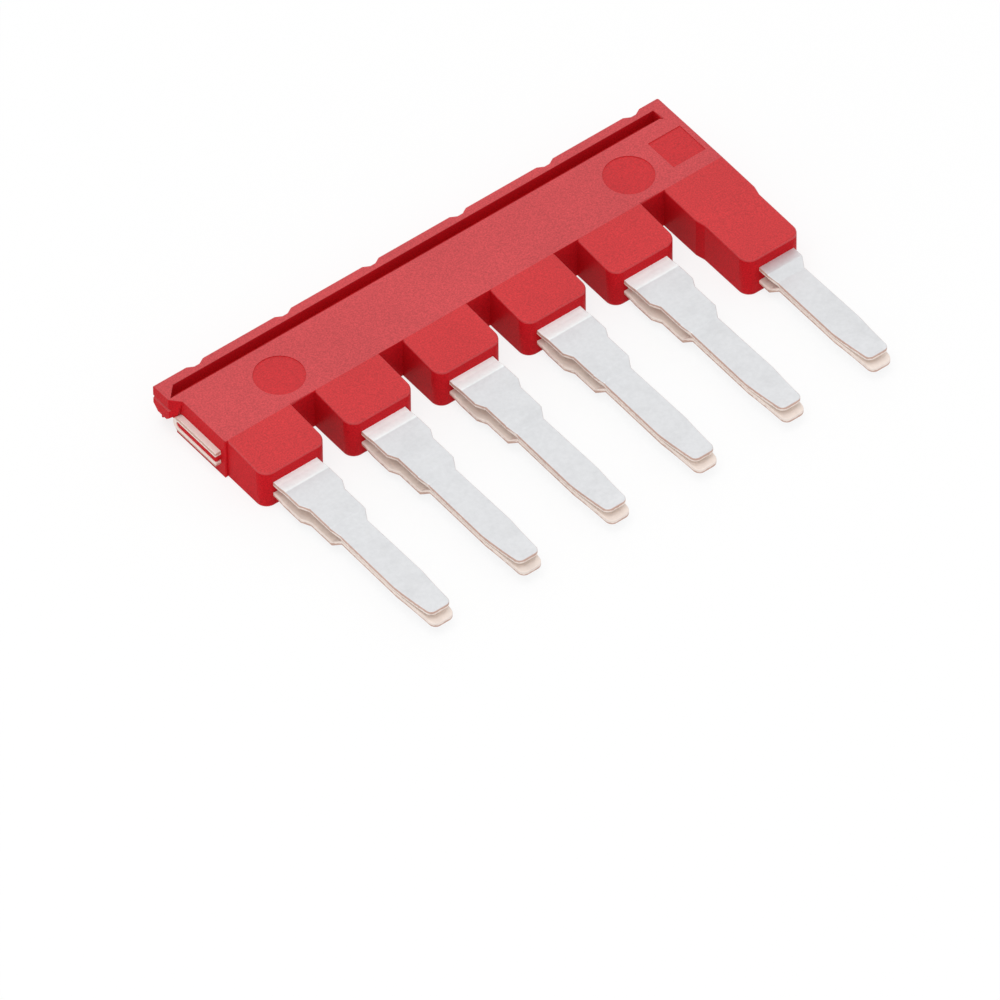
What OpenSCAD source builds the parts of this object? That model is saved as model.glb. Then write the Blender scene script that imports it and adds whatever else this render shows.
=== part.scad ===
// Plug-in jumper bar for a row of terminal blocks.
// A resin housing is moulded round one folded sheet comb, whose paired tongues plug into the blocks.
// The bar lies on its back: X runs along it, the tongues point to -Y and its face looks up.
// Every drop is measured from the head rim towards the tongue tips.

/* [Bar] */
// Number of poles that the bar joins
poles = 6; // [2:1:10]
// Distance from one pole to the next
pitch = 6.2; // [5.6:0.1:8.2]
// Drop of the tips of the front leaves
tip_drop = 22.4; // [21:0.1:25]

/* [Housing] */
// Thickness of the housing from back to face
housing_t = 3.0; // [2.6:0.1:3.6]
// Drop of the slot tops, where the fingers begin
body_h = 5.9; // [5.7:0.1:7]
// Housing beyond the centre of the first pole
left_margin = 2.35; // [2:0.05:2.8]
// Housing beyond the centre of the last pole
right_margin = 1.95; // [1.8:0.05:2.6]
// Width of the slot between two fingers
slot_w = 1.62; // [1:0.02:1.9]
// Length of a short finger below the slot tops
finger_l = 3.3; // [2.6:0.1:3.6]
// Length of the last finger, which codes the bar's direction
last_finger_l = 7.3; // [6.6:0.1:7.8]
// Length of the last finger above the step in its sides
last_step_l = 2.9; // [2:0.1:4]
// Step in the sides of the first and the last finger
side_step = 0.15; // [0.05:0.05:0.25]
// Length over which the last finger's sides step in
step_ramp_l = 0.6; // [0.2:0.1:1]
// Thickness of a short finger at its end
finger_end_t = 2.75; // [2.4:0.05:3]
// Thickness of the last finger at its end
last_end_t = 2.85; // [2.4:0.05:3]
// Radius of the corners at a finger's end
finger_corner_r = 0.7; // [0.3:0.1:1.2]

/* [Head] */
// Width of the rim above the pry groove
rim_w = 0.65; // [0.4:0.05:0.7]
// Width of the pry groove
groove_w = 0.75; // [0.4:0.05:0.8]
// Depth of the pry groove in the face and in the back
groove_depth = 0.9; // [0.5:0.05:1.1]
// Length of the slanted mouth of the back groove at the left end
groove_mouth_l = 0.6; // [0.3:0.1:1.5]
// Wall that closes the groove at the right end
groove_wall = 0.85; // [0.4:0.05:1.5]
// Width of a rim notch at its mouth
notch_w = 1.15; // [0.7:0.05:1.6]
// Width of a rim notch at its floor
notch_floor_w = 0.35; // [0.2:0.05:0.7]
// Depth of a rim notch
notch_depth = 0.22; // [0.1:0.02:0.34]
// Reach of the parting lug beyond the left end
lug_l = 0.55; // [0.4:0.05:1]
// Height of the parting lug at its root
lug_h = 2.0; // [1.8:0.05:2.3]
// Height of the parting lug at its tip
lug_tip_h = 1.4; // [1.2:0.05:1.7]
// Thickness of the parting lug
lug_t = 1.75; // [1.5:0.05:2]
// Round-off of the lug's lower edge below the rim
lug_round = 0.4; // [0.2:0.05:0.5]
// Wall between the groove and the tip of the lug
lug_wall = 0.15; // [0.15:0.05:0.35]
// Slant of the groove's end beside the lug
groove_slant = 0.75; // [0.2:0.05:1.2]
// Depth of the nick across the tip of the lug
lug_nick = 0.12; // [0.05:0.01:0.15]

/* [Face marks] */
// Diameter of the round recesses above the outer slots
round_d = 3.0; // [2:0.1:3.4]
// Drop of the centres of the round recesses
round_drop = 3.75; // [3.5:0.05:4.1]
// Width of the square recess at the right end
square_w = 2.3; // [1.6:0.1:2.6]
// Height of the square recess
square_h = 2.35; // [1.6:0.05:3]
// Drop of the top edge of the square recess
square_drop = 2.5; // [1.8:0.1:2.8]
// Face left between the square recess and the right end
square_margin = 0.4; // [0.2:0.05:0.8]
// Diameter of the ejector marks on the back
ejector_d = 1.6; // [1:0.1:2.2]
// Depth of the recesses and marks
mark_depth = 0.06; // [0.02:0.02:0.2]

/* [Contact comb] */
// Thickness of the sheet
sheet_t = 0.3; // [0.2:0.01:0.4]
// Height of the comb's middle plane above the back
comb_z = 1.34; // [1.34:0.02:1.6]
// Drop of the fold crest
fold_drop = 1.57; // [1.56:0.01:1.9]
// Height of the folded spine
spine_h = 3.9; // [3:0.1:4]
// Length of the cut end of the spine beyond the housing
tail_l = 0.4; // [0.2:0.05:0.5]
// Set-back of the resin between the leaves from the cut end of the spine
core_set_back = 0.08; // [0.02:0.02:0.16]
// Distance over both leaves of the folded spine
spine_stack = 1.04; // [0.98:0.02:1.1]
// Distance over both leaves where the tongues leave the housing
root_stack = 1.14; // [1.1:0.02:1.3]
// Distance over both leaves where they bulge
bulge_stack = 1.34; // [1.32:0.02:1.6]
// Distance over both leaves at the tips
tip_stack = 1.04; // [0.9:0.02:1.2]
// Gap between the leaves along the blades
blade_gap = 0.04; // [0.02:0.01:0.08]
// Further reach of the rear leaf's tip, whose shoulders and neck lie lower by half as much
rear_reach = 0.3; // [0:0.05:0.5]

/* [Tongue outline] */
// Width of a tongue in the housing
root_w = 3.1; // [2.9:0.1:3.4]
// Width of a tongue between its two shoulders
bulge_w = 2.5; // [2.3:0.1:2.8]
// Width of the blade at its waist below the neck
waist_w = 1.94; // [1.6:0.02:2.2]
// Width of the blade where it starts to taper
blade_w = 2.02; // [1.6:0.02:2.2]
// Width of the blade where its end starts to round
tip_w = 1.56; // [1.2:0.02:1.58]
// Radius of the corners of the tip
tip_r = 0.45; // [0.3:0.05:0.55]
// Drop of the joggle that spreads the leaves
joggle_drop = 9.6; // [9.55:0.05:10]
// Length of the joggle
joggle_l = 0.6; // [0.4:0.05:0.8]
// Drop of the front leaf's upper shoulder
shoulder_drop = 11.5; // [11.2:0.05:12.2]
// Length of the upper shoulder
shoulder_l = 0.6; // [0.3:0.05:0.8]
// Drop of the front leaf's neck, where the leaves close and narrow
neck_drop = 13.95; // [13.6:0.05:14.6]
// Length of the neck
neck_l = 0.55; // [0.4:0.05:1]
// Drop at which the blade starts to taper and flare
flare_drop = 19.4; // [18.5:0.1:20]

/* [Hidden] */
$fn = 48;

// Small overlap that keeps cuts clean
cut = 1;
// Steps in the curve of a flared tip
flare_steps = 5;

last_x = (poles - 1) * pitch;
left_x = -left_margin;
right_x = last_x + right_margin;
lug_x = left_x - lug_l;
tail_x = left_x - tail_l;
spine_right_x = last_x + root_w / 2;
finger_w = pitch - slot_w;
finger_drop = body_h + finger_l;
last_drop = body_h + last_finger_l;
last_step_drop = body_h + last_step_l;
spine_drop = fold_drop + spine_h;
root_bend_drop = body_h + finger_l / 2;
fold_r = spine_stack / 2;
fold_centre_drop = fold_drop + fold_r;
groove_drop = rim_w + groove_w;
rear_drop = tip_drop + rear_reach;

// Sides of finger number i, seen from the face
function finger_left(i) = i == 0 ? -min(finger_w / 2, left_margin - side_step) : i * pitch - finger_w / 2;
function finger_right(i) = i == poles - 1 ? last_x + min(finger_w / 2, right_margin) : i * pitch + finger_w / 2;

// Distance of a leaf's outer side from the middle plane, along the tongue: [drop, distance]
function leaf_line(reach) = let (neck = neck_drop + reach / 2) concat(
    [[fold_centre_drop, spine_stack / 2],
     [root_bend_drop, spine_stack / 2],
     [finger_drop, root_stack / 2],
     [joggle_drop, root_stack / 2],
     [joggle_drop + joggle_l, bulge_stack / 2],
     [neck, bulge_stack / 2],
     [neck + neck_l, sheet_t + blade_gap / 2]],
    [for (i = [0 : flare_steps])
        [flare_drop + reach + (tip_drop - flare_drop) * i / flare_steps,
         sheet_t + blade_gap / 2 + (tip_stack - blade_gap - 2 * sheet_t) / 2 * pow(i / flare_steps, 2)]]);

// Moves what is drawn round the first pole so that the bar is centred
module placed() {
    translate([-(lug_x + right_x) / 2, rear_drop / 2, 0]) children();
}

// Extrudes a side view, drawn as [-drop, height], along the bar
module along_bar(x0, x1) {
    translate([x0, 0, 0]) rotate([90, 0, 90]) linear_extrude(x1 - x0) children();
}

// Outline of a finger with two round corners at its end
module finger_outline(x0, x1, top, end) {
    w = x1 - x0;
    translate([x0, -(end - finger_corner_r)]) square([w, end - finger_corner_r - top]);
    translate([x0 + finger_corner_r, -end]) square([w - 2 * finger_corner_r, finger_corner_r + cut]);
    for (x = [x0 + finger_corner_r, x1 - finger_corner_r])
        translate([x, -(end - finger_corner_r)]) circle(finger_corner_r);
}

// Side view of the housing down to a finger's end: the back is flat and the face slopes down to it
module taper_outline(end, end_t) {
    polygon([[0, 0], [0, housing_t], [-body_h, housing_t], [-end, end_t], [-end, 0]]);
}

module short_fingers() {
    intersection() {
        linear_extrude(housing_t)
            for (i = [0 : poles - 2])
                finger_outline(finger_left(i), finger_right(i), body_h - cut, finger_drop);
        along_bar(left_x, right_x) taper_outline(finger_drop, finger_end_t);
    }
}

// The last finger is longer, so that the bar can't be plugged in the wrong way round
module last_finger() {
    x0 = finger_left(poles - 1);
    x1 = finger_right(poles - 1);
    ramp_drop = last_step_drop + step_ramp_l;
    intersection() {
        linear_extrude(housing_t) {
            polygon([[x0, cut - body_h], [x0, -last_step_drop], [x0 + side_step, -ramp_drop],
                     [x1 - side_step, -ramp_drop], [x1, -last_step_drop], [x1, cut - body_h]]);
            finger_outline(x0 + side_step, x1 - side_step, body_h - cut, last_drop);
        }
        along_bar(left_x, right_x) taper_outline(last_drop, last_end_t);
    }
}

// Stub left where the bar was parted from the next one
module parting_lug() {
    lean = lug_h / 9;
    bevel = lug_t / 3;
    difference() {
        intersection() {
            along_bar(lug_x, left_x + cut)
                polygon([[0, housing_t], [-lug_h, housing_t], [lean - lug_h, housing_t - lug_t + bevel],
                         [lean - lug_h + bevel, housing_t - lug_t], [-lug_round, housing_t - lug_t],
                         [0, housing_t - lug_t + lug_round]]);
            linear_extrude(housing_t)
                polygon([[lug_x, 0], [lug_x, -lug_tip_h], [left_x, -lug_h], [left_x + cut, -lug_h], [left_x + cut, 0]]);
        }
        translate([lug_x, cut, housing_t - lug_t / 2]) rotate([90, 0, 0])
            linear_extrude(lug_h + 2 * cut)
                polygon([[-lug_nick, -lug_nick * 2], [lug_nick, 0], [-lug_nick, lug_nick * 2]]);
    }
}

module pry_grooves() {
    groove_right_x = right_x - groove_wall;
    front_x = lug_x + lug_wall;
    translate([0, 0, housing_t - groove_depth])
        linear_extrude(groove_depth + cut)
            polygon([[front_x, -groove_drop], [front_x + groove_slant, -rim_w],
                     [groove_right_x, -rim_w], [groove_right_x, -groove_drop]]);
    translate([lug_x - cut, -groove_drop, -cut])
        cube([groove_right_x - lug_x + cut, groove_w, groove_depth + cut]);
    along_bar(lug_x - cut, left_x + groove_mouth_l)
        polygon([[0, -cut], [0, 0], [-groove_depth, groove_depth], [-groove_drop, groove_depth], [-groove_drop, -cut]]);
}

module rim_notches() {
    for (i = [0 : poles - 1])
        translate([i * pitch, 0, -cut])
            linear_extrude(housing_t + 2 * cut)
                polygon([[-notch_w / 2, 0], [-notch_w / 2, cut], [notch_w / 2, cut], [notch_w / 2, 0],
                         [notch_floor_w / 2, -notch_depth], [-notch_floor_w / 2, -notch_depth]]);
}

// Bare recesses in the face: a round one above the first and the last slot, and a square one
module face_marks() {
    translate([0, 0, housing_t - mark_depth]) {
        for (x = [pitch / 2, last_x - pitch / 2])
            translate([x, -round_drop, 0]) cylinder(d = round_d, h = mark_depth + cut);
        translate([right_x - square_margin - square_w, -(square_drop + square_h), 0])
            cube([square_w, square_h, mark_depth + cut]);
    }
}

// Resin between the two leaves, shown where the spine leaves the housing
module tail_core() {
    core_t = spine_stack - sheet_t;
    translate([tail_x + core_set_back, -spine_drop, comb_z - core_t / 2])
        cube([tail_l + cut, spine_h - sheet_t / 2, core_t]);
}

// Marks of the pins that push the housing out of its mould, on the back
module ejector_marks() {
    for (i = [0 : poles - 1])
        translate([i * pitch, -(finger_drop - finger_corner_r - ejector_d / 2), -cut])
            cylinder(d = ejector_d, h = mark_depth + cut);
}

module housing() {
    color("firebrick") placed() difference() {
        union() {
            translate([left_x, -body_h, 0]) cube([right_x - left_x, body_h, housing_t]);
            short_fingers();
            last_finger();
            parting_lug();
            tail_core();
        }
        pry_grooves();
        rim_notches();
        face_marks();
        ejector_marks();
        comb_sheet();
    }
}

// Outline of one tongue, from the spine to its rounded tip
module tongue_outline(reach) {
    end_drop = tip_drop + reach;
    shoulder = shoulder_drop + reach / 2;
    neck = neck_drop + reach / 2;
    half = [[root_w / 2, spine_drop - cut],
            [root_w / 2, shoulder],
            [bulge_w / 2, shoulder + shoulder_l],
            [bulge_w / 2, neck],
            [waist_w / 2, neck + neck_l],
            [blade_w / 2, flare_drop + reach],
            [tip_w / 2, end_drop - tip_r]];
    last = len(half) - 1;
    polygon(concat([for (p = half) [p[0], -p[1]]],
                   [for (i = [last : -1 : 0]) [-half[i][0], -half[i][1]]]));
    translate([-(tip_w / 2 - tip_r), -end_drop]) square([tip_w - 2 * tip_r, tip_r + cut]);
    for (x = [-(tip_w / 2 - tip_r), tip_w / 2 - tip_r])
        translate([x, -(end_drop - tip_r)]) circle(tip_r);
}

// Flat outline of one leaf of the folded sheet: half the spine and a tongue at each pole
module leaf_outline(reach) {
    translate([tail_x, -spine_drop]) square([spine_right_x - tail_x, spine_drop - fold_centre_drop]);
    for (i = [0 : poles - 1])
        translate([i * pitch, 0]) tongue_outline(reach);
}

// Side view of one leaf, measured from the middle plane
module leaf_side(reach) {
    line = leaf_line(reach);
    last = len(line) - 1;
    polygon(concat([for (p = line) [-p[0], p[1]]],
                   [for (i = [last : -1 : 0]) [-line[i][0], line[i][1] - sheet_t]]));
}

module leaf(reach) {
    intersection() {
        translate([0, 0, -bulge_stack]) linear_extrude(2 * bulge_stack) leaf_outline(reach);
        along_bar(tail_x - cut, last_x + pitch) leaf_side(reach);
    }
}

// Half round fold that joins the two leaves along the top of the spine
module fold() {
    along_bar(tail_x, spine_right_x) translate([-fold_centre_drop, 0])
        intersection() {
            difference() {
                circle(fold_r);
                circle(fold_r - sheet_t);
            }
            translate([0, -fold_r]) square([fold_r, 2 * fold_r]);
        }
}

module comb_sheet() {
    translate([0, 0, comb_z]) {
        fold();
        leaf(0);
        mirror([0, 0, 1]) leaf(rear_reach);
    }
}

module contact_comb() {
    color("gainsboro") placed() comb_sheet();
}

housing();
contact_comb();
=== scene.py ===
"""Looks of a plug-in jumper bar for terminal blocks: a moulded housing round a folded, tinned comb.

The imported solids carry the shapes. This file rounds their edges, gives them their finishes,
and sets them on a white table under soft light.
"""

import math

import bpy
from mathutils import Matrix, Vector


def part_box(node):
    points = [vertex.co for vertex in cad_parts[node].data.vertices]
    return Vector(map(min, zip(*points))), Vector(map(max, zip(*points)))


bl_info = {
    "name": "Jumper bar looks",
    "version": (1, 0, 0),
    "blender": (4, 5, 0),
    "location": "3D View > Sidebar > Jumper bar",
    "description": "Finishes and stage for a plug-in jumper bar",
    "category": "Object",
}

MM = 0.001

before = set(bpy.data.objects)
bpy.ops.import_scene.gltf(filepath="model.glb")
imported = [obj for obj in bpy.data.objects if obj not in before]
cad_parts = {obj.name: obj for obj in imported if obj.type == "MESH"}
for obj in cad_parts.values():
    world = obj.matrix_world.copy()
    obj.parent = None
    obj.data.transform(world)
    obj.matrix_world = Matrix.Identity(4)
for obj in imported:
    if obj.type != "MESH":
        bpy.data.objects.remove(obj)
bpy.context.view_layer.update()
housing_low, housing_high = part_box("housing")
comb_low, comb_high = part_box("contact_comb")

# Places in the solids. Those along the tongues are drops below the head rim.
HEAD_Y = housing_high.y
SLOT_TOP_Y = HEAD_Y - 5.9 * MM
BEND_END = 10.2                            # drop in mm where the bend beside the housing ends
BEND_Y = HEAD_Y - BEND_END * MM
MID_Z = housing_high.z / 2                 # the middle of the housing's thickness
COMB_Z = (comb_low.z + comb_high.z) / 2    # the middle plane between the leaves
PARTED_X = comb_low.x                      # the parted end of the sheet
LUG = Vector((housing_low.x + 0.6 * MM, HEAD_Y - 1.4 * MM, MID_Z))
LUG_REACH = 1.8 * MM                       # the lug and its thin walls lie this near to LUG
SHEET_T = 0.3 * MM

# How the meshes are rounded
SAME_POINT = 0.0005 * MM          # corners nearer to each other than this are one
SAME_FACE = math.radians(0.5)     # faces that turn less than this are one
SHARP_EDGE = math.radians(32)     # an edge where the faces turn more than this is sharp
EDGE_STEPS = 3                    # faces across a rounding
NARROW_SHARE = 0.25               # the part of a face's width that one rounding may take
COMB_CLEARANCE = 0.02 * MM        # a housing edge nearer to the comb than this lies on it
LEAST_WEIGHT = 0.05               # an edge with a smaller share of the radius counts as sharp

# Settings and ranges that many nodes share
SMOOTH = {"interpolation_type": "SMOOTHSTEP"}
TIMES = {"operation": "MULTIPLY"}
MINUS = {"operation": "SUBTRACT"}
OVER = {"operation": "DIVIDE"}
PLUS = {"operation": "ADD"}
ABSOLUTE = {"operation": "ABSOLUTE"}
LARGER = {"operation": "MAXIMUM"}
SMALLER = {"operation": "MINIMUM"}
DISTANCE = {"operation": "DISTANCE"}
BELOW = {"operation": "LESS_THAN"}
ABOVE = {"operation": "GREATER_THAN"}
COLOUR = {"data_type": "RGBA"}
EDGE_NUMBER = {"domain": "EDGE", "data_type": "FLOAT"}
EDGE_MARK = {"domain": "EDGE", "data_type": "BOOLEAN"}
NOISE_RANGE = {"From_Min": 0.3, "From_Max": 0.7}   # most values of a noise lie in it
WHITE = (1.0, 1.0, 1.0, 1.0)


def linear(hex_colour):
    """Linear red, green, blue and alpha of an sRGB hex colour such as #c8102e."""
    channels = [int(hex_colour[i:i + 2], 16) / 255 for i in (1, 3, 5)]
    return [c / 12.92 if c <= 0.04045 else ((c + 0.055) / 1.055) ** 2.4 for c in channels] + [1.0]


def colour_property(name, description, hex_colour):
    """A colour that the user can change, given as an sRGB hex value."""
    return bpy.props.FloatVectorProperty(
        name=name, description=description, subtype="COLOR", size=4,
        min=0.0, max=1.0, default=linear(hex_colour))


class HousingLook(bpy.types.PropertyGroup):
    """Sizes and colours of the moulded housing."""

    # Partly polish, partly painted shade and painted red interreflection: the upright faces' deeper
    # red
    drawn_and_shaded: colour_property(
        "Drawn resin", "Colour of the polished sides, grooves and slots", "#c41922")
    satin: colour_property(
        "Satin resin", "Colour of the fingers' faces and the recesses", "#ca2f33")
    # A painted sheen: the eroded face's paler colour stands for the haze of light its rough face
    # scatters
    textured_with_sheen: colour_property(
        "Textured resin", "Colour of the body's eroded face", "#c9464a")
    edge_radius: bpy.props.FloatProperty(
        name="Edge radius", description="Radius of the moulded edges",
        default=0.13 * MM, min=0.0, max=0.2 * MM, unit="LENGTH", precision=5)
    # Real pits are finer than a pixel of the render, so they are drawn coarser to show
    grain: bpy.props.FloatProperty(
        name="Grain", description="Width of the pits of the eroded texture",
        default=0.09 * MM, min=0.02 * MM, max=0.5 * MM, unit="LENGTH", precision=5)


class CombLook(bpy.types.PropertyGroup):
    """Sizes and colours of the folded sheet comb."""

    tin: colour_property("Tin", "Colour of the tin plate", "#dcdddf")
    # A painted highlight: the near-white, faintly blue colour of the bend beside the housing
    bend_highlight: colour_property(
        "Crazed tin", "Colour of the tin on the bend beside the housing", "#f8ffff")
    # Its warmth is the thinner tin, and its paleness is painted light in the gap between the leaves
    inner: colour_property(
        "Inner face", "Colour of the thinly plated faces between the leaves", "#f3e6dd")
    sheared: colour_property(
        "Sheared edge", "Colour of the smooth, tin-smeared part of a blanked edge", "#efe1d8")
    torn: colour_property(
        "Torn edge", "Colour of the rough copper part of a blanked edge", "#c9a596")
    edge_radius: bpy.props.FloatProperty(
        name="Edge radius", description="Radius of the sheet's blanked edges",
        default=0.06 * MM, min=0.0, max=0.08 * MM, unit="LENGTH", precision=5)
    # Real rolling lines are finer than a pixel of the render, so they are drawn coarser too
    rolling_line: bpy.props.FloatProperty(
        name="Rolling line", description="Width of the rolling lines under the tin",
        default=0.08 * MM, min=0.02 * MM, max=0.4 * MM, unit="LENGTH", precision=5)


class StageLook(bpy.types.PropertyGroup):
    """The white table and its light."""

    table: colour_property("Table", "Colour of the table", "#fdfdfd")
    shadow: bpy.props.FloatProperty(
        name="Shadow", description="Share of the table's light that the object can shade",
        default=0.2, min=0.0, max=1.0, subtype="FACTOR")
    room: bpy.props.FloatProperty(
        name="Room light", description="Strength of the light from all round",
        default=0.75, min=0.0, max=1.0)
    softbox: bpy.props.FloatProperty(
        name="Softbox", description="Power of the softbox above the table",
        default=0.7, min=0.0, max=5.0)
    rim_lamp: bpy.props.FloatProperty(
        name="Rim lamp", description="Power of the small low lamp behind the bar",
        default=0.05, min=0.0, max=2.0)


def add_node(tree, kind, settings=None, **inputs):
    """Adds a node. An input takes a value, a socket, or a node for its first output in use.

    Inputs are named with underscores for spaces, or in_0, in_1 by number. Where a name is there
    more than once, as in a mix, it means the one in use.
    """
    made = tree.nodes.new(kind)
    for field, value in (settings or {}).items():
        setattr(made, field, value)
    for name, value in inputs.items():
        if name.startswith("in_"):
            socket = made.inputs[int(name[3:])]
        else:
            plain = name.replace("_", " ")
            socket = next(one for one in made.inputs if one.enabled and one.name == plain)
        if isinstance(value, bpy.types.Node):
            value = next(one for one in value.outputs if one.enabled)
        if isinstance(value, bpy.types.NodeSocket):
            tree.links.new(value, socket)
        else:
            socket.default_value = value
    return made


def new_material(name):
    """An empty node material, and its tree."""
    material = bpy.data.materials.new(name)
    material.use_nodes = True
    material.node_tree.nodes.clear()
    return material, material.node_tree


def moulded_polyamide(look):
    """Red polyamide 66 from a steel mould.

    The body's face is spark eroded in the mould, and its paler colour is a painted sheen: the
    haze of light that the rough face scatters. The fingers' faces are satin. The sides, slots and
    grooves are polished smooth by the mould's draw; their deeper, more saturated colour is partly
    that polish and partly painted shade and painted red interreflection. Flow lines make the
    colour drift a little, and the pits give it a fine mottle.
    """
    zone_blur = 0.03 * MM
    recess_satin = 0.35           # a recess in the body is this much satin, and else drawn
    drift_span = 4 * MM
    pit_depth = 0.012 * MM
    satin_roughness, eroded_roughness = 0.38, 0.58
    # The drawn sides stay deep red at a flat angle, and the rounded edges shine most
    drawn_shine, face_shine, edge_shine = 0.03, 0.3, 0.6

    material, tree = new_material("moulded_polyamide")
    place = add_node(tree, "ShaderNodeTexCoord").outputs["Object"]
    at = add_node(tree, "ShaderNodeSeparateXYZ", Vector=place)
    facing = add_node(tree, "ShaderNodeSeparateXYZ",
                      Vector=add_node(tree, "ShaderNodeNewGeometry").outputs["True Normal"])

    # 1 where a surface lies level, 0 where it is upright, and between them on a rounded edge
    level = add_node(tree, "ShaderNodeMath", ABSOLUTE, in_0=facing.outputs["Z"])
    level_face = add_node(tree, "ShaderNodeMapRange", SMOOTH, Value=level,
                          From_Min=0.55, From_Max=0.85)
    slope = add_node(tree, "ShaderNodeMath", {"operation": "PINGPONG"}, in_0=level, in_1=0.5)
    rounded = add_node(tree, "ShaderNodeMapRange", SMOOTH, Value=slope,
                       From_Min=0.08, From_Max=0.3)

    # The eroded zone is the raised face and back of the body above the slot tops
    above_slots = add_node(tree, "ShaderNodeMapRange", SMOOTH, Value=at.outputs["Y"],
                           From_Min=SLOT_TOP_Y - zone_blur, From_Max=SLOT_TOP_Y + zone_blur)
    from_middle = add_node(tree, "ShaderNodeMath", ABSOLUTE, in_0=add_node(
        tree, "ShaderNodeMath", MINUS, in_0=at.outputs["Z"], in_1=MID_Z))
    raised = add_node(tree, "ShaderNodeMapRange", SMOOTH, Value=from_middle,
                      From_Min=MID_Z - 0.05 * MM, From_Max=MID_Z - 0.02 * MM)
    eroded = add_node(tree, "ShaderNodeMath", TIMES, in_0=above_slots, in_1=raised)

    satin_share = add_node(tree, "ShaderNodeMath", TIMES, in_0=level_face, in_1=add_node(
        tree, "ShaderNodeMapRange", Value=above_slots, To_Min=1.0, To_Max=recess_satin))
    # Upright faces take the drawn colour, whose deeper red is partly painted shade and
    # interreflection
    smooth_zones = add_node(tree, "ShaderNodeMix", COLOUR, Factor=satin_share,
                            A=look.drawn_and_shaded[:], B=look.satin[:])
    # The eroded face's paler colour is a painted sheen
    zones = add_node(tree, "ShaderNodeMix", COLOUR, Factor=eroded,
                     A=smooth_zones, B=look.textured_with_sheen[:])

    drift = add_node(tree, "ShaderNodeTexNoise", Vector=place, Scale=1 / drift_span, Detail=2.0)
    pits = add_node(tree, "ShaderNodeTexNoise", Vector=place, Scale=1 / look.grain, Detail=3.0,
                    Roughness=0.6)
    drift_level = add_node(tree, "ShaderNodeMapRange", Value=drift, To_Min=0.96, To_Max=1.04,
                           **NOISE_RANGE)
    pit_level = add_node(tree, "ShaderNodeMapRange", Value=pits, To_Min=0.77, To_Max=1.23,
                         **NOISE_RANGE)
    mottle = add_node(tree, "ShaderNodeMath", TIMES, in_0=drift_level, in_1=pit_level)
    colour = add_node(tree, "ShaderNodeHueSaturation", Color=zones, Value=mottle)

    roughness = add_node(tree, "ShaderNodeMapRange", Value=eroded,
                         To_Min=satin_roughness, To_Max=eroded_roughness)
    flat_shine = add_node(tree, "ShaderNodeMapRange", Value=level_face,
                          To_Min=drawn_shine, To_Max=face_shine)
    shine = add_node(tree, "ShaderNodeMix", Factor=rounded, A=flat_shine, B=edge_shine)
    pit_strength = add_node(tree, "ShaderNodeMapRange", Value=eroded, To_Min=0.2, To_Max=0.7)
    bump = add_node(tree, "ShaderNodeBump", Strength=pit_strength, Distance=pit_depth,
                    Height=pits)
    resin = add_node(tree, "ShaderNodeBsdfPrincipled", Base_Color=colour, Roughness=roughness,
                     Specular_IOR_Level=shine, IOR=1.53, Normal=bump)
    add_node(tree, "ShaderNodeOutputMaterial", Surface=resin)
    return material


def half_stack(tree, y):
    """Distance from the comb's middle plane to the outer side of a leaf, at a place along it."""
    spine_half = 0.52 * MM
    bends = ((7.5, 9.2, 0.05),         # inside the finger
             (9.6, BEND_END, 0.1),     # beside the housing
             (13.9, 14.7, -0.35),      # the neck, where the leaves close
             (20.0, 22.6, 0.2))        # the flared tip
    total = spine_half
    for start_drop, end_drop, rise in bends:
        part = add_node(tree, "ShaderNodeMapRange", Value=y, To_Max=rise * MM,
                        From_Min=HEAD_Y - start_drop * MM, From_Max=HEAD_Y - end_drop * MM)
        total = add_node(tree, "ShaderNodeMath", PLUS, in_0=part, in_1=total)
    return total


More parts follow.
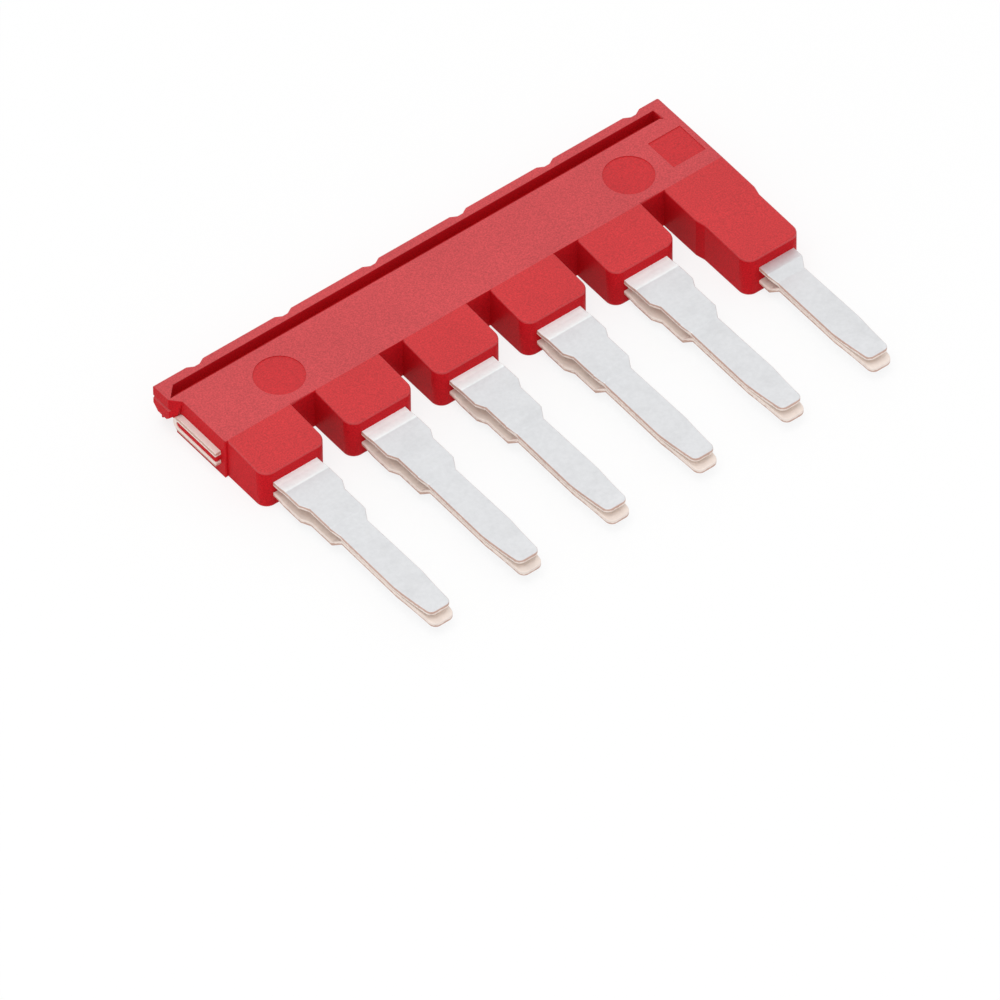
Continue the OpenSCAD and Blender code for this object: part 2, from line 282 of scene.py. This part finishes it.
def tinned_copper(look):
    """Copper sheet with an electroplated matt tin, blanked after plating.

    The flats are pale and silky with faint rolling lines and handling marks. The faces between
    the leaves got less tin and look warmer; their paler colour is painted light in the gap
    between the leaves. The outer faces of the bend beside the housing carry a painted highlight.
    A blanked edge has a smooth sheared part on the inner side, with tin wiped over it, and a torn
    copper part outside.
    """
    line_stretch = 25             # a rolling line is this many times longer than wide
    line_depth = 0.003 * MM
    mark_span = 1.6 * MM
    ragged_span, ragged_depth = 0.25 * MM, 0.2 * MM
    stub_tint_l, stub_tint_share = 0.6 * MM, 0.8
    bend_blur = 0.15 * MM
    dull_roughness = 0.55
    flat_metallic, dull_metallic = 0.5, 0.1

    material, tree = new_material("matt_tinned_copper_sheet")
    place = add_node(tree, "ShaderNodeTexCoord").outputs["Object"]
    at = add_node(tree, "ShaderNodeSeparateXYZ", Vector=place)
    facing = add_node(tree, "ShaderNodeSeparateXYZ",
                      Vector=add_node(tree, "ShaderNodeNewGeometry").outputs["True Normal"])

    # Blanked edges face sideways or down the tongue. The fold faces the head and keeps its tin.
    sideways = add_node(tree, "ShaderNodeMath", ABSOLUTE, in_0=facing.outputs["X"])
    down = add_node(tree, "ShaderNodeMath", TIMES, in_0=facing.outputs["Y"], in_1=-1.0)
    cut = add_node(tree, "ShaderNodeMapRange", SMOOTH, From_Min=0.6, From_Max=0.75,
                   Value=add_node(tree, "ShaderNodeMath", LARGER, in_0=sideways, in_1=down))

    # Heights from the middle plane tell a leaf's inner face from its outer one
    height = add_node(tree, "ShaderNodeMath", MINUS, in_0=at.outputs["Z"], in_1=COMB_Z)
    side = add_node(tree, "ShaderNodeMath", {"operation": "SIGN"}, in_0=height)
    outward = add_node(tree, "ShaderNodeMath", TIMES, in_0=side, in_1=facing.outputs["Z"])
    inner = add_node(tree, "ShaderNodeMapRange", SMOOTH, Value=outward,
                     From_Min=-0.3, From_Max=-0.5)

    # The tear starts about halfway through the sheet, along a ragged line
    depth = add_node(tree, "ShaderNodeMath", MINUS, in_0=half_stack(tree, at.outputs["Y"]),
                     in_1=add_node(tree, "ShaderNodeMath", ABSOLUTE, in_0=height))
    ragged = add_node(tree, "ShaderNodeTexNoise", Vector=place, Scale=1 / ragged_span, Detail=3.0)
    waver = add_node(tree, "ShaderNodeMath", TIMES, in_0=ragged, in_1=ragged_depth)
    halfway = (SHEET_T + ragged_depth) / 2
    tear_blur = 0.08 * SHEET_T
    torn = add_node(tree, "ShaderNodeMapRange", SMOOTH,
                    Value=add_node(tree, "ShaderNodeMath", PLUS, in_0=depth, in_1=waver),
                    From_Min=halfway + tear_blur, From_Max=halfway - tear_blur)

    across = 1 / look.rolling_line
    lines = add_node(tree, "ShaderNodeTexNoise", Scale=1.0, Detail=2.0, Vector=add_node(
        tree, "ShaderNodeMapping", Vector=place, Scale=(across, across / line_stretch, across)))
    marks = add_node(tree, "ShaderNodeTexNoise", Vector=place, Scale=1 / mark_span, Detail=4.0,
                     Roughness=0.65)

    # On the outer faces of the bend beside the housing, a near-white, faintly blue colour and a
    # lower metallic paint a highlight
    bend_highlight_zone = add_node(tree, "ShaderNodeMath", TIMES,
                    in_0=add_node(tree, "ShaderNodeMapRange", SMOOTH, Value=at.outputs["Y"],
                                  From_Min=BEND_Y - bend_blur, From_Max=BEND_Y),
                    in_1=add_node(tree, "ShaderNodeMath", LARGER, in_0=outward, in_1=0.0))
    # The faces of the stub beside the parted end take most of the sheared edge's warmer colour
    stub_tint = add_node(tree, "ShaderNodeMapRange", SMOOTH, Value=at.outputs["X"],
                       From_Min=PARTED_X + stub_tint_l, From_Max=PARTED_X + stub_tint_l / 2,
                       To_Max=stub_tint_share)
    tin_and_bend_highlight = add_node(tree, "ShaderNodeMix", COLOUR, Factor=bend_highlight_zone,
                      A=look.tin[:], B=look.bend_highlight[:])
    outer = add_node(tree, "ShaderNodeMix", COLOUR, Factor=stub_tint, A=tin_and_bend_highlight, B=look.sheared[:])
    # The inner faces are painted paler than the flats: painted light in the gap between the leaves
    faces = add_node(tree, "ShaderNodeMix", COLOUR, Factor=inner, A=outer, B=look.inner[:])
    edge = add_node(tree, "ShaderNodeMix", COLOUR, Factor=torn,
                    A=look.sheared[:], B=look.torn[:])
    plate = add_node(tree, "ShaderNodeMix", COLOUR, Factor=cut, A=faces, B=edge)
    mark_level = add_node(tree, "ShaderNodeMapRange", Value=marks,
                          From_Min=0.45, From_Max=0.7, To_Min=1.0, To_Max=0.94)
    ragged_level = add_node(tree, "ShaderNodeMapRange", Value=ragged, To_Min=0.97, To_Max=1.03,
                            **NOISE_RANGE)
    mottle = add_node(tree, "ShaderNodeMath", TIMES, in_0=mark_level, in_1=ragged_level)
    colour = add_node(tree, "ShaderNodeHueSaturation", Color=plate, Value=mottle)

    # Cut edges and thinly plated faces scatter light more than the flats
    dull = add_node(tree, "ShaderNodeMath", LARGER, in_0=cut, in_1=inner)
    flat_roughness = add_node(tree, "ShaderNodeMapRange", Value=marks, To_Min=0.4, To_Max=0.48,
                              **NOISE_RANGE)
    roughness = add_node(tree, "ShaderNodeMix", Factor=dull, A=flat_roughness, B=dull_roughness)
    # The painted highlight on the bend is also less metallic, like the dull faces
    dull_or_bend_highlight = add_node(tree, "ShaderNodeMath", LARGER, in_0=dull, in_1=bend_highlight_zone)
    metallic = add_node(tree, "ShaderNodeMapRange", Value=dull_or_bend_highlight,
                        To_Min=flat_metallic, To_Max=dull_metallic)
    bump = add_node(tree, "ShaderNodeBump", Strength=0.25, Distance=line_depth, Height=lines)
    metal = add_node(tree, "ShaderNodeBsdfPrincipled", Base_Color=colour,
                     Metallic=metallic, Roughness=roughness, Normal=bump)
    add_node(tree, "ShaderNodeOutputMaterial", Surface=metal)
    return material


def edges_to_round(radius):
    """Weighs the edges for the bevel: sharp outer ones by the width of the faces beside them.

    The resin was moulded against the comb, so the edges that lie on the comb stay sharp, and
    so do the inner corners, where a rounding would fold the mesh.
    """
    tree = bpy.data.node_groups.new("edges_to_round", "GeometryNodeTree")
    for way in ("INPUT", "OUTPUT"):
        tree.interface.new_socket("Geometry", in_out=way, socket_type="NodeSocketGeometry")

    # A face is about as wide beside an edge as its area over the edge's length
    ends = add_node(tree, "GeometryNodeInputMeshEdgeVertices")
    first, second = ends.outputs["Position 1"], ends.outputs["Position 2"]
    length = add_node(tree, "ShaderNodeVectorMath", DISTANCE, in_0=first, in_1=second)
    face_per_area = add_node(tree, "ShaderNodeMath", OVER, in_0=1.0,
                             in_1=add_node(tree, "GeometryNodeInputMeshFaceArea"))
    per_area = add_node(tree, "GeometryNodeFieldOnDomain", {"domain": "FACE"},
                        in_0=face_per_area)
    per_width = add_node(tree, "ShaderNodeMath", TIMES, in_0=per_area, in_1=length)
    part = add_node(tree, "ShaderNodeMath", {"operation": "DIVIDE", "use_clamp": True},
                    in_0=NARROW_SHARE / radius, in_1=per_width)

    angle = add_node(tree, "GeometryNodeInputMeshEdgeAngle")
    sharp = add_node(tree, "FunctionNodeCompare", ABOVE, in_0=angle.outputs["Unsigned Angle"],
                     in_1=SHARP_EDGE)
    outer = add_node(tree, "FunctionNodeCompare", ABOVE, in_0=angle.outputs["Signed Angle"],
                     in_1=SHARP_EDGE)
    comb = add_node(tree, "GeometryNodeObjectInfo", {"transform_space": "RELATIVE"},
                    Object=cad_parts["contact_comb"])
    beside = add_node(tree, "GeometryNodeProximity", in_0=comb.outputs["Geometry"])
    clear = add_node(tree, "FunctionNodeCompare", ABOVE, in_0=beside.outputs["Distance"],
                     in_1=COMB_CLEARANCE)

    # The thin walls of the lug have no room for a rounding, so its edges stay as cut
    nearest = add_node(tree, "ShaderNodeMath", SMALLER, **{
        f"in_{number}": add_node(tree, "ShaderNodeVectorMath", DISTANCE, in_0=end, in_1=LUG)
        for number, end in enumerate((first, second))})
    roomy = add_node(tree, "FunctionNodeCompare", ABOVE, in_0=nearest, in_1=LUG_REACH)
    weight = part
    for share in (outer, clear, roomy):
        weight = add_node(tree, "ShaderNodeMath", TIMES, in_0=weight, in_1=share)
    weighed = add_node(tree, "GeometryNodeStoreNamedAttribute", EDGE_NUMBER,
                       Geometry=add_node(tree, "NodeGroupInput"), Name="bevel_weight_edge",
                       Value=weight)

    # A sharp edge that stays unrounded also keeps a crisp shade
    unrounded = add_node(tree, "FunctionNodeCompare", BELOW, in_0=weight, in_1=LEAST_WEIGHT)
    crisp = add_node(tree, "FunctionNodeBooleanMath", {"operation": "AND"},
                     in_0=sharp, in_1=unrounded)
    marked = add_node(tree, "GeometryNodeStoreNamedAttribute", EDGE_MARK, Geometry=weighed,
                      Name="sharp_edge", Value=crisp)
    add_node(tree, "NodeGroupOutput", in_0=marked)
    return tree


def dress(node_name, material, edge_radius, whole_edges):
    """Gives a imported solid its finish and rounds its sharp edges.

    With whole_edges, each edge is rounded as far as the faces beside it allow.
    """
    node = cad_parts[node_name]
    node.data.materials.clear()
    node.data.materials.append(material)
    weld = node.modifiers.new("weld", "WELD")
    weld.merge_threshold = SAME_POINT
    flats = node.modifiers.new("whole_faces", "DECIMATE")
    flats.decimate_type = "DISSOLVE"
    flats.angle_limit = SAME_FACE
    if whole_edges:
        node.modifiers.new("edges_to_round", "NODES").node_group = edges_to_round(edge_radius)
    bevel = node.modifiers.new("edge_radius", "BEVEL")
    bevel.width = edge_radius
    bevel.segments = EDGE_STEPS
    bevel.limit_method = "WEIGHT" if whole_edges else "ANGLE"
    bevel.angle_limit = SHARP_EDGE
    bevel.use_clamp_overlap = not whole_edges
    bevel.loop_slide = False
    normals = node.modifiers.new("face_normals", "WEIGHTED_NORMAL")
    normals.weight = 100    # the large faces decide, so they look flat
    normals.keep_sharp = True


class DressHousing(bpy.types.Operator):
    """Give the housing its moulded red resin and round its edges"""

    bl_idname = "jumper_bar.dress_housing"
    bl_label = "Dress housing"

    def execute(self, context):
        look = context.scene.jumper_housing
        dress("housing", moulded_polyamide(look), look.edge_radius, whole_edges=True)
        return {"FINISHED"}


class DressComb(bpy.types.Operator):
    """Give the folded comb its tin plate and its blanked copper edges"""

    bl_idname = "jumper_bar.dress_comb"
    bl_label = "Dress comb"

    def execute(self, context):
        look = context.scene.jumper_comb
        dress("contact_comb", tinned_copper(look), look.edge_radius, whole_edges=False)
        return {"FINISHED"}


def white_seen(tree, most):
    """How much of a surface's own white the camera and reflections see, up to a given share."""
    ray = add_node(tree, "ShaderNodeLightPath")
    mirrored = add_node(tree, "ShaderNodeMath", LARGER, in_0=ray.outputs["Is Glossy Ray"],
                        in_1=ray.outputs["Is Transmission Ray"])
    seen = add_node(tree, "ShaderNodeMath", LARGER, in_0=ray.outputs["Is Camera Ray"],
                    in_1=mirrored)
    return add_node(tree, "ShaderNodeMath", TIMES, in_0=seen, in_1=most)


def white_table(look):
    """Matt white laminate: the camera sees its own white, and the object's shadow dims the rest."""
    material, tree = new_material("white_laminate")
    white = add_node(tree, "ShaderNodeEmission", Strength=1.0, Color=WHITE)
    matt = add_node(tree, "ShaderNodeBsdfDiffuse", Color=look.table[:])
    mixed = add_node(tree, "ShaderNodeMixShader", in_0=white_seen(tree, 1.0 - look.shadow),
                     in_1=matt, in_2=white)
    add_node(tree, "ShaderNodeOutputMaterial", Surface=mixed)
    return material


def room_light(look):
    """A room that lights the object evenly and looks white to the camera and in reflections."""
    world = bpy.data.worlds.new("white_room")
    bpy.context.scene.world = world
    world.use_nodes = True
    tree = world.node_tree
    tree.nodes.clear()
    strength = add_node(tree, "ShaderNodeMapRange", Value=white_seen(tree, 1.0),
                        To_Min=look.room, To_Max=1.0)
    light = add_node(tree, "ShaderNodeBackground", Color=WHITE, Strength=strength)
    add_node(tree, "ShaderNodeOutputWorld", Surface=light)


def add_softbox(name, place, size, power):
    """A square area lamp at place that shines at the bar."""
    lamp = bpy.data.lights.new(name, "AREA")
    lamp.shape = "SQUARE"
    lamp.size = size
    lamp.energy = power
    holder = bpy.data.objects.new(name, lamp)
    holder.location = place
    holder.rotation_mode = "QUATERNION"
    holder.rotation_quaternion = Vector(place).to_track_quat("Z", "Y")
    bpy.context.scene.collection.objects.link(holder)


def add_camera():
    """The photograph's long lens, aimed a little beyond the bar so that it lies up in the frame."""
    turn, tilt, roll = (math.radians(angle) for angle in (-37.5039, 47.2035, -0.7092))
    aim = Vector((-7.3023, -6.4238, 1.5)) * MM
    distance = 1048.95 * MM
    focal_px, frame_px, sensor = 18912.74, 1000, 36.0
    back = Vector((math.sin(turn) * math.cos(tilt), -math.cos(turn) * math.cos(tilt),
                   math.sin(tilt)))
    level = Vector((math.cos(turn), math.sin(turn), 0.0))
    upright = back.cross(level)
    right = level * math.cos(roll) + upright * math.sin(roll)
    up = upright * math.cos(roll) - level * math.sin(roll)
    lens = bpy.data.cameras.new("camera")
    lens.sensor_width = sensor
    lens.lens = focal_px * sensor / frame_px
    lens.clip_start, lens.clip_end = 0.01, 10.0
    camera = bpy.data.objects.new("camera", lens)
    axes = Matrix((right, up, back)).transposed()
    camera.matrix_world = Matrix.Translation(aim + back * distance) @ axes.to_4x4()
    bpy.context.scene.collection.objects.link(camera)
    bpy.context.scene.camera = camera


class SetStage(bpy.types.Operator):
    """Lay the white table and set the light and the camera"""

    bl_idname = "jumper_bar.set_stage"
    bl_label = "Set stage"

    def execute(self, context):
        look = context.scene.jumper_stage
        half = 2.0    # half the table's side, long enough that its rim doesn't show
        sheet = bpy.data.meshes.new("table")
        corners = [(-half, -half, 0), (half, -half, 0), (half, half, 0), (-half, half, 0)]
        sheet.from_pydata(corners, [], [(0, 1, 2, 3)])
        sheet.materials.append(white_table(look))
        table = bpy.data.objects.new("table", sheet)
        context.scene.collection.objects.link(table)
        room_light(look)
        # The softbox hangs on the tips' side, and the rim lamp stands low behind the head
        add_softbox("softbox", place=(-0.12, -0.08, 0.46), size=0.30, power=look.softbox)
        add_softbox("rim_lamp", place=(0.18, 0.36, 0.21), size=0.12, power=look.rim_lamp)
        add_camera()
        context.scene.view_settings.view_transform = "Standard"
        return {"FINISHED"}


class JumperBarPanel(bpy.types.Panel):
    """Sizes, colours and steps of the jumper bar"""

    bl_idname = "VIEW3D_PT_jumper_bar"
    bl_label = "Jumper bar"
    bl_space_type = "VIEW_3D"
    bl_region_type = "UI"
    bl_category = "Jumper bar"

    def draw(self, context):
        for group, step_class in STEPS:
            look = getattr(context.scene, group)
            for name in look.bl_rna.properties.keys():
                if name not in {"rna_type", "name"}:
                    self.layout.prop(look, name)
            self.layout.operator(step_class.bl_idname)


STEPS = [("jumper_housing", DressHousing), ("jumper_comb", DressComb), ("jumper_stage", SetStage)]
GROUPS = {"jumper_housing": HousingLook, "jumper_comb": CombLook, "jumper_stage": StageLook}
CLASSES = [*GROUPS.values(), DressHousing, DressComb, SetStage, JumperBarPanel]


def register():
    """Registers the classes and puts their settings on the scene."""
    for one in CLASSES:
        bpy.utils.register_class(one)
    for name, group in GROUPS.items():
        setattr(bpy.types.Scene, name, bpy.props.PointerProperty(type=group))


def unregister():
    """Takes the settings and the classes away again."""
    for name in GROUPS:
        delattr(bpy.types.Scene, name)
    for one in reversed(CLASSES):
        bpy.utils.unregister_class(one)


def main():
    """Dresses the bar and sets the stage."""
    register()
    bpy.ops.jumper_bar.dress_housing()
    bpy.ops.jumper_bar.dress_comb()
    bpy.ops.jumper_bar.set_stage()
    bpy.context.view_layer.update()


if __name__ == "__main__":
    main()
